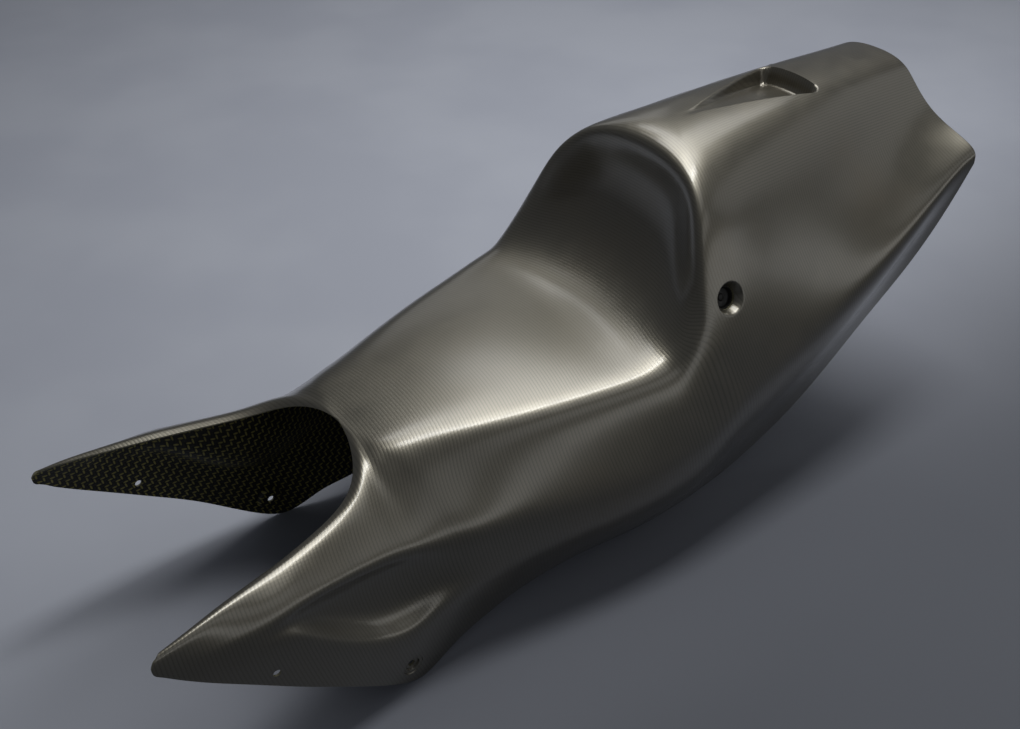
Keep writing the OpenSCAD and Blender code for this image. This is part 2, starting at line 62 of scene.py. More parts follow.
# The cowl's surface
# Lines around the left half of the cowl, as in the part's source. At the rim's corners and
# at the rear ends of the shoulders they are up to 4 mm fuller or lower than there. Each point
# is [distance back from the arm tips, distance out, height over the seat], in mm.
STATIONS = [
    # Round tip of the arm
    [[9, 115, 5], [7.5, 116, 5], [6, 117.2, 4.6], [4, 118.5, 3.5], [2.2, 119.4, 1.6],
     [0.9, 120, -1], [0, 120.2, -2.5], [0, 120.4, -4], [0, 120.5, -5], [0, 120.6, -6.5],
     [0.5, 120.7, -8], [1.5, 120.8, -9.5], [3, 121, -11], [5, 121, -13]],
    # Pointed end of the arm
    [[28, 111.5, 6], [28, 114, 7], [28, 116.2, 6], [28, 117.8, 3.5], [28, 119, 0],
     [28, 120, -4], [28, 121, -8], [28, 121.8, -12], [28, 122.3, -15], [28, 123, -18],
     [28, 123.6, -22], [28, 124.1, -26], [28, 124.6, -30], [28, 125, -34]],
    # Front bolt
    [[62, 102.5, 6], [62, 106.5, 8], [62, 110, 6.6], [62, 113, 3.6], [62, 116, 0],
     [62, 119, -4], [62, 121.5, -8], [62, 124, -12], [62, 125.5, -16], [62, 126.6, -22],
     [62, 127.3, -28], [62, 127.8, -35], [62, 128.2, -44], [62, 128, -61]],
    # Front end of the side pocket
    [[96, 95.5, 5], [96, 100, 7.5], [96, 105, 6.4], [96, 110, 3.5], [96, 115, 0.5],
     [96, 119, -3], [96, 122.5, -7], [96, 125, -11], [96, 126.4, -14.5], [96, 127.2, -18],
     [96, 128, -21.5], [96, 129, -25], [96, 130, -34], [96, 131.3, -89]],
    [[118, 90, 4], [118, 95, 6.5], [118, 100, 5], [118, 105.5, 2], [118, 110.5, -1.5],
     [118, 115, -6], [118, 118.5, -10], [118, 121.2, -14], [118, 121.8, -19], [118, 117, -27],
     [118, 116.5, -37], [118, 129, -45], [118, 131.6, -53], [118, 132.6, -106]],
    # Deepest part of the pocket
    [[142, 83.5, 4], [142, 88.5, 6], [142, 94.5, 4.5], [142, 100, 0.5], [142, 105.5, -4],
     [142, 110, -8], [142, 114.5, -12], [142, 118.2, -16.5], [142, 118.3, -23],
     [142, 111.5, -34], [142, 113, -60], [142, 130, -69], [142, 132.4, -77], [142, 132.5, -126]],
    [[174, 73, 4], [174, 79, 6.5], [174, 85.5, 4.2], [174, 92, -1], [174, 98.5, -6.5],
     [174, 104.5, -11.5], [174, 110, -16.5], [174, 114.6, -22], [174, 115, -29],
     [174, 108.5, -41], [174, 112, -84], [175, 130, -95], [175, 132.5, -104], [174, 130, -155]],
    # Lower corner of the arm and rear bolt
    [[198, 61, 11], [198, 67.5, 13.5], [198, 75, 11], [198, 83.5, 5], [198, 92, -2],
     [198, 100, -9], [199, 107.5, -16], [199, 114.2, -23.5], [200, 115.5, -32],
     [201, 109, -45], [202, 112.5, -90], [203, 130, -103], [204, 131.5, -112], [205, 126.5, -178]],
    # Side and back of the notch
    [[212, 37, 21], [212, 47, 23], [213, 57, 20], [214, 68.5, 12], [215, 80, 3],
     [217, 92, -7], [219, 104, -17], [221, 115, -27.5], [223, 117.5, -37],
     [224, 113, -51], [225, 116, -82], [226, 129.5, -96], [227, 130, -106], [227, 122.5, -173]],
    [[218.5, 15, 25.5], [219, 29, 25.8], [220, 44, 24.5], [222, 58.5, 22.5], [226, 73, 12.5],
     [230, 88, 0], [234, 103, -13], [238, 117, -28.5], [241, 121, -42],
     [242, 119, -58], [243, 121, -79], [244, 129, -92], [245, 129, -104], [246, 120.5, -165]],
    [[219.5, 0, 26], [221, 18, 26.5], [223, 36, 26], [227, 52, 26.5], [233, 68, 19],
     [239, 85.5, 5], [245, 102.5, -10], [251, 118.5, -28.5], [255, 124, -42],
     [256, 124.5, -56], [257, 125, -77], [258, 128.5, -91], [259, 128, -104], [262, 118.5, -161]],
    [[224, 0, 26], [226, 20, 26.8], [230, 39, 28], [236, 57, 28], [243, 74, 18.5],
     [251, 92, 2.5], [259, 109, -13.5], [267, 123.5, -30], [271, 128, -42],
     [272, 128, -59], [273, 128, -77], [274, 128.5, -91], [275, 127.2, -105], [278, 116.5, -160]],
    # Front of the seat
    [[250, 0, 31], [252, 22, 31], [255, 43, 30.8], [260, 61, 29.5], [267, 77, 21.5],
     [275, 95, 5], [284, 112, -13], [293, 127, -32], [297, 131, -44],
     [298, 131.5, -62], [299, 131, -78], [300, 130, -94], [301, 127, -108], [304, 114.5, -156]],
    [[300, 0, 35], [301, 26, 34.8], [303, 50, 33.8], [306, 72, 32], [310, 87, 28],
     [314, 102, 12], [318, 118, -11], [322, 132, -35], [325, 136.5, -49],
     [326, 137, -66], [327, 136, -82], [328, 133, -98], [329, 127.5, -114], [332, 113, -154]],
    # Middle of the seat
    [[360, 0, 37.5], [360, 30, 37.2], [361, 58, 36], [362, 84, 33.5], [364, 103, 30.5],
     [366, 116, 14], [369, 130.5, -13], [373, 143.5, -40], [376, 147, -54],
     [377, 147, -71], [378, 144.5, -88], [379, 139, -104], [380, 131, -120], [382, 112.5, -155]],
    [[415, 0, 37.5], [415, 32, 37.2], [414, 63, 36.2], [413, 94, 34], [414, 114, 32],
     [415, 127, 16], [418, 140, -13], [421, 152, -42], [424, 155.5, -55],
     [425, 155, -73], [426, 151.5, -91], [427, 145, -108], [428, 136, -125], [430, 112.5, -163]],
    # Foot of the backrest
    [[455, 0, 36.8], [454, 32, 36.6], [451, 64, 36], [448, 95, 35], [445, 119, 34.3],
     [446, 131.5, 22], [450, 144.5, -7], [455, 156, -38], [459, 159, -51],
     [460, 158, -70], [461, 154, -90], [462, 147, -109], [463, 138, -127], [465, 112, -170]],
    [[488, 0, 39], [487, 32, 39.1], [483, 64, 39.2], [476, 94, 38.3], [465, 119, 36.6],
     [464, 134.5, 25.5], [471, 148, -4], [480, 157.5, -33], [484, 160.5, -46],
     [486, 159, -67], [487, 155, -88], [488, 147.5, -109], [489, 138, -128], [491, 111, -174]],
    # Bucket of the backrest
    [[520, 0, 53], [518, 32, 53.5], [513, 62, 54], [500, 92, 49.5], [484, 118.5, 40.5],
     [480, 135.5, 28], [487, 149.5, -2], [498, 158.5, -28], [503, 161.5, -41],
     [506, 160, -63], [507, 155, -86], [508, 147, -108], [509, 137, -128], [512, 110.5, -175.5]],
    [[545, 0, 80], [543, 31, 81], [536, 60, 80], [520, 87, 74], [501, 113, 58.5],
     [494, 134.5, 42.5], [501, 148.5, 7], [512, 158.5, -23], [518, 161.5, -36],
     [522, 159.5, -59], [524, 154, -83], [525, 146, -106], [526, 136, -127], [530, 110.5, -175.5]],
    [[557, 0, 117], [555, 29, 117], [548, 56, 113], [532, 81, 102], [512, 108, 81],
     [505, 133, 57], [512, 148, 15], [523, 158, -18], [531, 161, -30],
     [536, 158.5, -54], [539, 152.5, -79], [541, 144, -103], [543, 134.5, -125], [548, 110.5, -174.5]],
    [[557, 0, 150], [555, 29, 149], [549, 57, 144], [532, 83, 126], [516, 109, 93],
     [512, 134, 61], [521, 148, 19], [534, 157.5, -12], [543, 160.5, -24],
     [549, 157.5, -49], [553, 151, -75], [556, 142, -99], [559, 133, -121], [566, 110.5, -172.5]],
    # Rim of the backrest
    [[548, 0, 174], [546, 33, 172.5], [543, 68, 166], [528, 95, 141], [519, 114, 98],
     [518, 134.5, 62], [530, 148, 21], [545, 156.5, -7], [555, 159.5, -19],
     [562, 156, -45], [567, 149, -71], [571, 140, -95], [575, 130.5, -118], [583, 111, -169]],
    [[555, 0, 184.5], [553, 34, 183], [551, 70, 171.5], [537, 99, 144], [530, 118, 99],
     [531, 136.5, 62], [544, 149, 23], [560, 156.5, -2], [571, 159, -14],
     [579, 155, -41], [585, 148, -67], [590, 138.5, -92], [594, 129, -114], [602, 112, -164]],
    # Front of the hump
    [[584, 0, 189.5], [582, 33, 187.5], [580, 66, 173.5], [573, 95, 147], [566, 118, 105],
     [566, 135.5, 67], [576, 148, 31], [592, 155.5, 6], [603, 158, -6],
     [611, 153.5, -33], [617, 146, -58], [622, 136.5, -82], [627, 127.5, -104], [637, 113, -151]],
    [[630, 0, 191], [629, 30, 189.5], [627, 60, 177], [622, 86, 147], [618, 108.5, 110],
     [620, 127.5, 77], [629, 143, 44], [643, 153, 19], [653, 156, 7],
     [660, 151.5, -18], [666, 143.5, -42], [671, 134.5, -64], [676, 126.5, -86], [686, 115, -128]],
    # Air scoop
    [[690, 0, 192], [690, 28, 190.5], [689, 55, 179], [687, 78, 151], [686, 97.5, 121],
     [688, 117, 92], [694, 135, 64], [703, 149, 41], [710, 153, 29],
     [716, 148.5, 7], [720, 140.5, -14], [724, 132.5, -34], [728, 126.5, -53], [734, 117, -91]],
    [[750, 0, 192], [750, 26, 190.5], [750, 51, 179.5], [750, 70, 156], [750, 88, 131],
     [752, 107, 108], [755, 127, 85], [760, 143, 67], [764, 149, 56],
     [768, 145.5, 36], [771, 138.5, 19], [774, 133, 3], [777, 128.5, -13], [780, 121.5, -42]],
    # End of the tail
    [[805, 0, 190.5], [805, 23, 189.2], [805, 45, 179.5], [805, 62.5, 160], [805, 80, 140],
     [806, 99, 122.5], [808, 119, 107], [811, 135, 95], [813, 143.5, 85],
     [815, 141.5, 71], [817, 138, 57], [819, 135, 45], [820, 133, 32], [822, 130, 6]],
    [[850, 0, 188.5], [850, 21, 187], [850, 41, 179.5], [850, 58, 162], [850, 76, 145],
     [850, 95, 132.5], [851, 114, 123], [852, 129, 115.5], [853, 137.5, 108.5],
     [854, 138.5, 100], [855, 138, 91], [856, 137, 83], [857, 136, 75], [858, 135, 60]],
    [[880, 0, 186], [880, 19, 185.3], [880, 40, 179.5], [880, 56, 162.5], [880, 75, 147],
     [880, 95, 137.5], [880, 114, 131.5], [880, 128, 126.5], [880, 134, 123],
     [880, 137, 119.5], [880, 138, 116.5], [880, 138.4, 113.5], [880, 138.5, 111],
     [880, 138.6, 109]]
]
LAST_STATION = len(STATIONS) - 1
LAST_POINT = len(STATIONS[0]) - 1
# The first station that starts on the cowl's middle
FIRST_MIDDLE = 10
# The cloth of the seat and that of the hump meet on the rim.
SEAM = 22.43
HALF_LENGTH = 440
SEAT_LEVEL = 175.45
MM = 0.001
WALL = 2.2 * MM
EDGE_ROUND = 0.4 * MM
# Points nearer to each other than this are one, in metres or in stations.
SAME = 1e-6

# The air scoop in the hump, in mm: its tip, its rear wall and its shape there
SCOOP_TIP = 607
SCOOP_WALL = 748
SCOOP_TIP_HALF = 2.5
SCOOP_HALF = 35
SCOOP_DEEP = 18
SCOOP_DEEPEST = 1.02
SCOOP_CORNER = 13
SCOOP_SLOPE = 5.5


def ghosts(rows):
    """The net of points with one more on every side: mirrored at the middle, straight on elsewhere."""
    g = np.array(rows, float)
    mirrored = g[:, 1:2] * [1, -1, 1]
    first = np.where(g[:, :1, 1:2] == 0, mirrored, 2 * g[:, :1] - g[:, 1:2])
    g = np.concatenate([first, g, 2 * g[:, -1:] - g[:, -2:-1]], axis=1)
    return np.concatenate([2 * g[:1] - g[1:2], g, 2 * g[-1:] - g[-2:-1]])


NET = ghosts(STATIONS)


def weights(f):
    """The shares of four net points in a cubic spline, a fraction f past the second."""
    return np.stack([(1 - f) ** 3, 3 * f**3 - 6 * f**2 + 4, -3 * f**3 + 3 * f**2 + 3 * f + 1, f**3]) / 6


def smooth(f):
    """Eases from 0 to 1."""
    f = np.clip(f, 0, 1)
    return f * f * (3 - 2 * f)


def scoop_half(back):
    """Half the scoop's width at a distance back from the arm tips, in mm."""
    along = (np.minimum(back, SCOOP_WALL) - SCOOP_TIP) / (SCOOP_WALL - SCOOP_TIP)
    return np.maximum(SCOOP_TIP_HALF, SCOOP_HALF * along)


def scoop_drop(back, out):
    """How far the scoop lies under the hump's face, in mm."""
    side = scoop_half(back) - np.abs(out) + SCOOP_SLOPE / 2
    rear = SCOOP_WALL - back + SCOOP_SLOPE / 2
    from_side, from_rear = np.maximum(SCOOP_CORNER - side, 0), np.maximum(SCOOP_CORNER - rear, 0)
    inside = SCOOP_CORNER - np.hypot(from_side, from_rear)
    ramp = np.clip((back - SCOOP_TIP) / (SCOOP_WALL - SCOOP_TIP), 0, SCOOP_DEEPEST)
    return SCOOP_DEEP * ramp * smooth(inside / SCOOP_SLOPE)


def face_points(t, u, with_scoop=True):
    """Points of the outer face at stations t and points u along them, in metres."""
    t, u = np.clip(t, 0, LAST_STATION), np.clip(u, 0, LAST_POINT)
    i = np.minimum(np.floor(t).astype(int), LAST_STATION - 1)
    j = np.minimum(np.floor(u).astype(int), LAST_POINT - 1)
    along, across = weights(t - i), weights(u - j)
    p = sum((along[a] * across[b])[:, None] * NET[i + a, j + b] for a in range(4) for b in range(4))
    p[(u < SAME) & (t > FIRST_MIDDLE - SAME), 1] = 0
    if with_scoop:
        p[:, 2] -= scoop_drop(p[:, 0], p[:, 1])
    return np.stack([HALF_LENGTH - p[:, 0], p[:, 1], p[:, 2] + SEAT_LEVEL], axis=1) * MM


def inward(t, u):
    """Directions into the wall, square to the outer face."""
    e = 0.01
    along = face_points(t + e, u) - face_points(t - e, u)
    before = face_points(t, np.abs(u - e))
    before[(u < e) & (t > FIRST_MIDDLE - SAME), 1] *= -1
    at_edge = (u < e) & (t < FIRST_MIDDLE - SAME)
    before[at_edge] = face_points(t, u)[at_edge]
    n = np.cross(along, face_points(t, u + e) - before)
    n[(t < SAME) | (t > LAST_STATION - SAME), 0] = 0
    return n / np.linalg.norm(n, axis=1, keepdims=True)


# The mesh
def lines(*spans):
    """Line positions from spans that follow each other: first, last and number of steps."""
    return [a + (b - a) * k / n for a, b, n in spans for k in range(n)] + [spans[-1][1]]


ALONG = lines((0, 0.05, 1), (0.05, 1, 6), (1, 8, 49), (8, 11, 12), (11, 14, 21), (14, 16, 16),
              (16, 24, 56), (24, 26.6, 24), (26.6, 27.1, 20), (27.1, 29.96, 17), (29.96, 30, 1))
ACROSS = lines((0, 0.05, 1), (0.05, 4, 27), (4, 5, 6), (5, 12, 34), (12, 12.97, 13), (12.97, 13, 1))
# The first lines are drawn to the scoop between these stations, and up to this point across.
DRAWN_FROM = 22.6
DRAWN_TO = 28.8
DRAWN_OVER = 1.6
DRAWN_POINT = 4
DRAWN_SAMPLES = 81
# How many lines lie inside the scoop, and up to the outside of its wall
INNER_LINES = 11
WALL_LINES = 20
WALL_CLEAR = 0.8


def drawn_to_scoop(t, k):
    """Where line k crosses station t: the first lines follow the scoop's side walls."""
    u = ACROSS[k]
    last = ACROSS.index(DRAWN_POINT)
    drawn = float(smooth((t - DRAWN_FROM) / DRAWN_OVER) * smooth((DRAWN_TO - t) / DRAWN_OVER))
    if k >= last or drawn == 0:
        return u
    samples = np.linspace(0, DRAWN_POINT, DRAWN_SAMPLES)
    p = face_points(np.full(DRAWN_SAMPLES, t), samples, False)
    half = float(scoop_half(HALF_LENGTH - p[0, 0] / MM))
    wall = SCOOP_SLOPE / 2 + WALL_CLEAR
    edges = np.interp([max(half - wall, half / 3), half + wall], p[:, 1] / MM, samples)
    at_scoop = np.interp(k, [0, INNER_LINES, WALL_LINES, last], [0, *edges, DRAWN_POINT])
    return (1 - drawn) * u + drawn * float(at_scoop)


def flat_sheet():
    """The left half as a flat sheet: x counts the stations and y the points across."""
    bm = bmesh.new()
    steps_along, steps_across = len(ALONG) - 1, len(ACROSS) - 1
    bmesh.ops.create_grid(bm, x_segments=steps_along, y_segments=steps_across, size=1)
    for v in bm.verts:
        t = ALONG[round((v.co.x + 1) / 2 * steps_along)]
        v.co = (t, drawn_to_scoop(t, round((v.co.y + 1) / 2 * steps_across)), 0)
    return bm


def places(verts):
    """The stations and the points across of a sheet's vertices."""
    co = np.array([v.co for v in verts])
    return co[:, 0], co[:, 1]


RING_SEGMENTS = 56
# Of a bore's widest ring, how much of the sheet is opened for it
OPENED = 1.1
# Solving for a place on the face: rounds, and the longest step of one, in stations
ROUNDS = 14
LONGEST_STEP = 0.3
# A recess changes only what lies this near to the outer face.
RECESS_REACH = 15 * MM


class Bore:
    """A round place in the left side: its axis, its rings and the profiles of its two faces.

    A profile lists a distance from the axis and the depth under the outer face there, in mm.
    """

    def __init__(self, name, rings, outer=None, inner=None):
        self.into = -np.array(mounts[name]["axis"], float)
        self.into /= np.linalg.norm(self.into)
        self.first = np.cross(self.into, [0, 0, 1])
        self.first /= np.linalg.norm(self.first)
        self.second = np.cross(self.into, self.first)
        self.rings = [r * MM for r in rings]
        self.outer = outer
        self.inner = inner
        self.centre = np.array(mounts[name]["pos_m"])
        all_t = np.linspace(0, LAST_STATION, LAST_STATION * 8 + 1)
        all_u = np.linspace(0, LAST_POINT, LAST_POINT * 8 + 1)
        t, u = [k.ravel() for k in np.meshgrid(all_t, all_u)]
        k = int(np.linalg.norm(face_points(t, u) - self.centre, axis=1).argmin())
        self.place = self.find(np.zeros((1, 2)), t[k : k + 1], u[k : k + 1])
        self.centre = face_points(*self.place)[0]

    def offsets(self, t, u):
        d = face_points(t, u) - self.centre
        return np.stack([d @ self.first, d @ self.second], axis=1)

    def find(self, wanted, t, u):
        """The places on the face that have the wanted offsets from the axis."""
        e = 1e-3
        for _ in range(ROUNDS):
            here = self.offsets(t, u)
            by_t = (self.offsets(t + e, u) - here) / e
            by_u = (self.offsets(t, u + e) - here) / e
            miss = wanted - here
            size = by_t[:, 0] * by_u[:, 1] - by_t[:, 1] * by_u[:, 0]
            step_t = (miss[:, 0] * by_u[:, 1] - miss[:, 1] * by_u[:, 0]) / size
            step_u = (by_t[:, 0] * miss[:, 1] - by_t[:, 1] * miss[:, 0]) / size
            t = t + np.clip(step_t, -LONGEST_STEP, LONGEST_STEP)
            u = u + np.clip(step_u, -LONGEST_STEP, LONGEST_STEP)
        return t, u

    def away(self, t, u):
        """How far places on the face lie from the bore's centre."""
        return np.linalg.norm(face_points(t, u) - self.centre, axis=1)

    def cut(self, bm):
        """Opens the sheet around the bore and fills it with rings down to the bore's edge."""
        near = self.away(*places(bm.verts)) < self.rings[0] * OPENED
        doomed = {f for v, is_near in zip(bm.verts, near) if is_near for f in v.link_faces}
        rim = list({e for f in doomed for e in f.edges if any(g not in doomed for g in e.link_faces)})
        loose = [v for f in doomed for v in f.verts if all(g in doomed for g in v.link_faces)]
        bmesh.ops.delete(bm, geom=list(doomed), context="FACES_ONLY")
        bmesh.ops.delete(bm, geom=list(set(loose)), context="VERTS")
        ring = bmesh.ops.create_circle(bm, segments=RING_SEGMENTS, radius=1)["verts"]
        at = np.array([v.co.xy for v in ring]) * self.rings[0]
        t, u = np.full(len(ring), self.place[0][0]), np.full(len(ring), self.place[1][0])
        for v, a, b in zip(ring, *self.find(at, t, u)):
            v.co = (a, b, 0)
        edges = list({e for v in ring for e in v.link_edges})
        bmesh.ops.bridge_loops(bm, edges=rim + edges)
        for radius in self.rings[1:]:
            grown = bmesh.ops.extrude_edge_only(bm, edges=edges)["geom"]
            verts = [g for g in grown if isinstance(g, bmesh.types.BMVert)]
            touching = {e for v in verts for e in v.link_edges}
            edges = [e for e in touching if all(v in verts for v in e.verts)]
            t, u = places(verts)
            at = self.offsets(t, u)
            at *= radius / np.linalg.norm(at, axis=1, keepdims=True)
            for v, a, b in zip(verts, *self.find(at, t, u)):
                v.co = (a, b, 0)

    def sink(self, points, profile):
        """Moves points in along the axis until they lie at least as deep as the profile says."""
        if profile is None:
            return points
        d = points - self.centre
        deep = d @ self.into
        away = np.linalg.norm(d - deep[:, None] * self.into, axis=1)
        radii, depths = np.array(profile, float).T * MM
        wanted = np.interp(away, radii, depths)
        near = (away < radii[-1]) & (np.abs(deep) < RECESS_REACH)
        return points + np.where(near, np.maximum(wanted - deep, 0), 0)[:, None] * self.into


BORES = [
    Bore("front_bolt_left", [6.5, 5, 3.9, 3.25]),
    Bore("rear_bolt_left",
         [14.4, 13.4, 12.7, 12.2, 11.4, 10.6, 10.2, 9.9, 9.6, 9.2, 8.2, 7.3, 6.95, 6.6, 6.3, 5.9,
          4.8, 3.8, 3.25],
         outer=[[0, 3.2], [6.3, 3.2], [6.95, 1.6], [9.6, 1.6], [10.2, 0], [12, -5]],
         inner=[[0, 5.4], [11.4, 5.4], [12.7, 1.6], [13.4, -5]]),
    Bore("side_bore_left",
         [20.5, 18.8, 17.6, 16.6, 15.9, 15.3, 14.8, 14.2, 13.4, 12.6, 11.8, 11.2, 10.8, 10.5],
         outer=[[0, 7], [10.5, 7], [11, 6.2], [14.6, 0.9], [15.6, 0.15], [16.2, -5]],
         inner=[[0, 9.2], [12.7, 9.2], [17.2, 1.6], [18, -5]]),
]


# The cloth's lengths are worked out this many times between two stations or points.
CLOTH_FINENESS = 8
# Between these stations the cloth follows the backrest's climb, out to the shoulder.
CLIMB_FROM = 14
CLIMB_TO = 23
CLIMB_SHOULDER = 5.5
CLIMB_FADE = 1.5
# How the threads lean: their slope at distances across the cloth, in metres
LEAN_AT = [0, 0.09, 0.125, 0.18, 0.28]
LEAN = [0, 0.3, 0, -0.2, -0.35]
CLOTH_REACH = 0.5


def cloth_tables():
    """The cloth's lengths over the face, in metres: along it for the seat and the hump, and across it."""
    t = np.arange(LAST_STATION * CLOTH_FINENESS + 1) / CLOTH_FINENESS
    u = np.arange(LAST_POINT * CLOTH_FINENESS + 1) / CLOTH_FINENESS
    all_t, all_u = [k.ravel() for k in np.meshgrid(t, u, indexing="ij")]
    p = face_points(all_t, all_u, False).reshape(len(t), len(u), 3)
    steps_across = np.linalg.norm(np.diff(p, axis=1), axis=2).cumsum(axis=1)
    across = np.concatenate([np.zeros((len(t), 1)), steps_across], axis=1)
    across += p[:, :1, 1]
    step = np.diff(p, axis=0)
    climb = np.linalg.norm(step, axis=2) + step[:, :, 0]
    climbing = (t[1:] > CLIMB_FROM) & (t[1:] < CLIMB_TO)
    climb *= climbing[:, None] * smooth((CLIMB_SHOULDER - u) / CLIMB_FADE)
    climb = np.concatenate([np.zeros((1, len(u))), climb.cumsum(axis=0)])
    place = np.arange(0, CLOTH_REACH, MM)
    slope = np.interp(place, LEAN_AT, LEAN)
    along = HALF_LENGTH * MM - p[:, :, 0] + np.interp(across, place, slope.cumsum() * MM)
    return {"seat": along + climb, "hump": along, "across": across}


CLOTH = cloth_tables()


def read_cloth(name, t, u):
    """A length of the cloth at one place, read between the table's entries."""
    table = CLOTH[name]
    short = 0.001
    a = min(max(t, 0), LAST_STATION - short) * CLOTH_FINENESS
    b = min(max(u, 0), LAST_POINT - short) * CLOTH_FINENESS
    i, j = int(a), int(b)
    a, b = a - i, b - j
    return float((1 - a) * ((1 - b) * table[i, j] + b * table[i, j + 1])
                 + a * ((1 - b) * table[i + 1, j] + b * table[i + 1, j + 1]))


def lay_cloth(bm, station, point):
    """Gives the faces the cloth's lengths as their UV map. The hump's cloth starts anew at the rim."""
    cloth = bm.loops.layers.uv.new("cloth")
    for f in bm.faces:
        part = "seat" if sum(v[station] for v in f.verts) / len(f.verts) < SEAM else "hump"
        side = 1 if f.calc_center_median().y > 0 else -1
        for corner in f.loops:
            t, u = corner.vert[station], corner.vert[point]
            corner[cloth].uv = (read_cloth(part, t, u), side * read_cloth("across", t, u))


OUTSIDE, INSIDE, EDGE = range(3)


def around_bore(edge, station, point):
    """Whether an edge lies within a bore's rings."""
    t, u = [np.array([v[layer] for v in edge.verts]) for layer in (station, point)]
    return any(bore.away(t, u).min() < bore.rings[0] for bore in BORES)


def mould_cowl():
    """The whole shell: the flat sheet laid on the face, with its inner face, mirrored and bevelled."""
    bm = flat_sheet()
    for bore in BORES:
        bore.cut(bm)
    station = bm.verts.layers.float.new("station")
    point = bm.verts.layers.float.new("point")
    for v in bm.verts:
        v[station], v[point] = v.co.x, v.co.y
    outer = bm.verts[:]
    grown = bmesh.ops.extrude_face_region(bm, geom=bm.faces[:], use_keep_orig=True)["geom"]
    inner = [g for g in grown if isinstance(g, bmesh.types.BMVert)]
    for verts, is_inner in ((outer, False), (inner, True)):
        t, u = places(verts)
        p = face_points(t, u)
        if is_inner:
            p = p + WALL * inward(t, u)
        for bore in BORES:
            p = bore.sink(p, bore.inner if is_inner else bore.outer)
        p[(u < SAME) & (t > FIRST_MIDDLE - SAME), 1] = 0
        p = np.clip(p, cad_box[0], cad_box[1])
        for v, co in zip(verts, p):
            v.co = co
    skin = set(inner)
    for f in bm.faces:
        count = sum(v in skin for v in f.verts)
        f.material_index = OUTSIDE if count == 0 else INSIDE if count == len(f.verts) else EDGE
    on_middle = [f for f in bm.faces
                 if f.material_index == EDGE and all(abs(v.co.y) < SAME / 10 for v in f.verts)]
    bmesh.ops.delete(bm, geom=on_middle, context="FACES")
    bmesh.ops.mirror(bm, geom=bm.verts[:] + bm.edges[:] + bm.faces[:], axis="Y", merge_dist=SAME)
    bmesh.ops.remove_doubles(bm, verts=bm.verts, dist=SAME)
    bmesh.ops.recalc_face_normals(bm, faces=bm.faces[:])
    lay_cloth(bm, station, point)
    rims = [e for e in bm.edges
            if len(e.link_faces) == 2 and sum(f.material_index == EDGE for f in e.link_faces) == 1
            and not around_bore(e, station, point)]
    bmesh.ops.bevel(bm, geom=rims, offset=EDGE_ROUND, offset_type="OFFSET", segments=2, profile=0.5,
                    affect="EDGES", clamp_overlap=True, material=EDGE)
    return bm


SPIN_STEPS = 48


def spun_about(bore, side, profile):
    """A closed shape spun about a bore's axis. The profile goes from the axis back to the axis."""
    bm = bmesh.new()
    verts = [bm.verts.new((away * MM, 0, deep * MM)) for away, deep in profile]
    edges = [bm.edges.new(pair) for pair in zip(verts, verts[1:])]
    bmesh.ops.spin(bm, geom=verts + edges, axis=(0, 0, 1), cent=(0, 0, 0), angle=math.tau, steps=SPIN_STEPS,
                   use_merge=True, use_duplicate=False)
    bmesh.ops.remove_doubles(bm, verts=bm.verts, dist=SAME)
    bmesh.ops.dissolve_degenerate(bm, edges=bm.edges, dist=SAME / 10)
    turn = Matrix([bore.first, bore.second, bore.into]).transposed().to_4x4()
    bmesh.ops.transform(bm, matrix=Matrix.Translation(bore.centre) @ turn, verts=bm.verts)
    bmesh.ops.scale(bm, vec=(1, side, 1), verts=bm.verts)
    bmesh.ops.recalc_face_normals(bm, faces=bm.faces[:])
    return bm


# A soft black grommet closes each side bore from behind. It is partly a guessed part and partly painted
# shade: it keeps the bore dark where the hump's shaded inside shows through. Its profile: distance from the
# axis and depth, in mm.
SHADE_GROMMET = [[0, 11.6], [2.4, 11.5], [3.2, 12], [3.6, 12.9], [7.6, 13.1], [8.5, 12.8], [9, 12], [9.2, 9.9],
           [9.6, 9.3], [10.1, 9.3], [10.4, 9.8], [10.4, 11], [13.2, 11], [13.7, 11.4], [13.7, 12.1],
           [13.2, 12.5], [10.4, 13], [9.6, 14.6], [8.6, 15], [0, 15]]


# Edges that turn by more than this many degrees stay sharp.
SHARP_FROM = 55


def finished(bm, name, finishes):
    """An object at the origin from a bmesh, smooth but for its sharp edges."""
    for f in bm.faces:
        f.smooth = True
    for e in bm.edges:
        e.smooth = len(e.link_faces) == 2 and e.calc_face_angle(0) < math.radians(SHARP_FROM)
    mesh = bpy.data.meshes.new(name)
    bm.to_mesh(mesh)
    bm.free()
    for finish in finishes:
        mesh.materials.append(finish)
    piece = bpy.data.objects.new(name, mesh)
    bpy.context.scene.collection.objects.link(piece)
    return piece


# The finishes
class Signal:
    """The output of a node. Arithmetic on it adds Math nodes."""

    def __init__(self, finish, socket):
        self.finish = finish
        self.socket = socket

    def math(self, operation, *others):
        return self.finish.maths(operation, self, *others)

    def __add__(self, other):
        return self.math("ADD", other)

    def __radd__(self, other):
        return self.math("ADD", other)

    def __sub__(self, other):
        return self.math("SUBTRACT", other)

    def __rsub__(self, other):
        return self.finish.maths("SUBTRACT", other, self)

    def __mul__(self, other):
        return self.math("MULTIPLY", other)

    def __rmul__(self, other):
        return self.math("MULTIPLY", other)

    def __truediv__(self, other):
        return self.math("DIVIDE", other)

    def __mod__(self, other):
        return self.math("FLOORED_MODULO", other)


